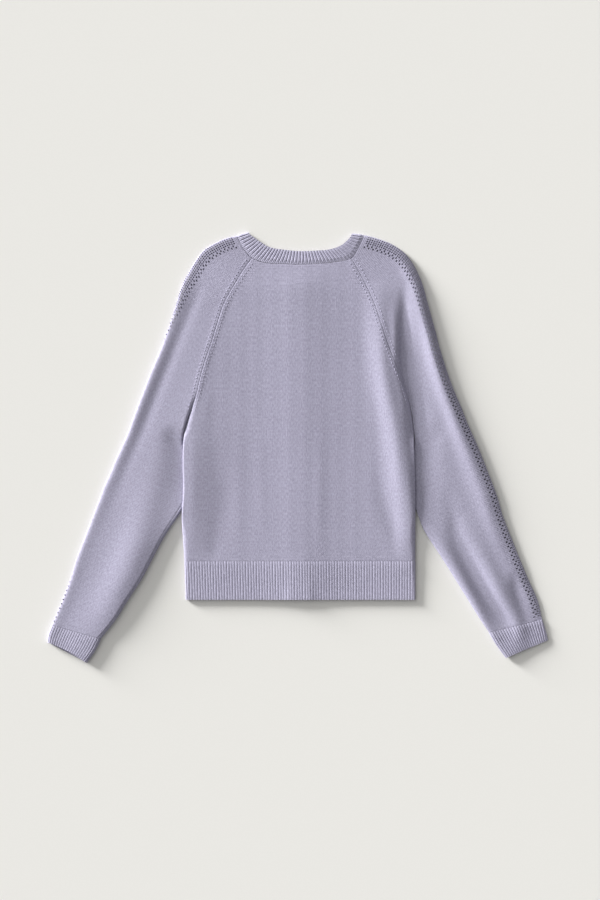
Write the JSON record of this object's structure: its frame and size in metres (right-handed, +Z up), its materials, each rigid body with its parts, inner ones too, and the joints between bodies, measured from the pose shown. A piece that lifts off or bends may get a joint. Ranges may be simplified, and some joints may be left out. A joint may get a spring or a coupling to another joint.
{
  "type": "cardigan",
  "caption": "Raglan-sleeved knitted cardigan lying flat, back up, with ribbed hem, cuffs and neckband and a buttoned front underneath.",
  "frame": {"origin": "centre of the plan outline, on the surface that the cardigan lies on", "axes": "+X to the right seen from above, across the body; +Y from hem to neck; +Z up, away from the surface"},
  "size_m": [0.7996, 0.6852, 0.0125],
  "materials": {
    "jersey": "matte fine-gauge jersey knit",
    "rib": "matte rib knit",
    "button": "satin dyed resin"
  },
  "bodies": {
    "root": {"back": "jersey", "front_left": "jersey", "front_right": "jersey", "sleeve_left": "jersey", "sleeve_right": "jersey", "hem_rib_back": "rib", "hem_rib_front_left": "rib", "hem_rib_front_right": "rib", "cuff_left": "rib", "cuff_right": "rib", "neckband": "rib", "button_band_left": "rib", "button_band_right": "rib", "button_1": "button", "button_2": "button", "button_3": "button", "button_4": "button", "button_5": "button", "button_6": "button", "button_7": "button"}
  },
  "joints": []
}
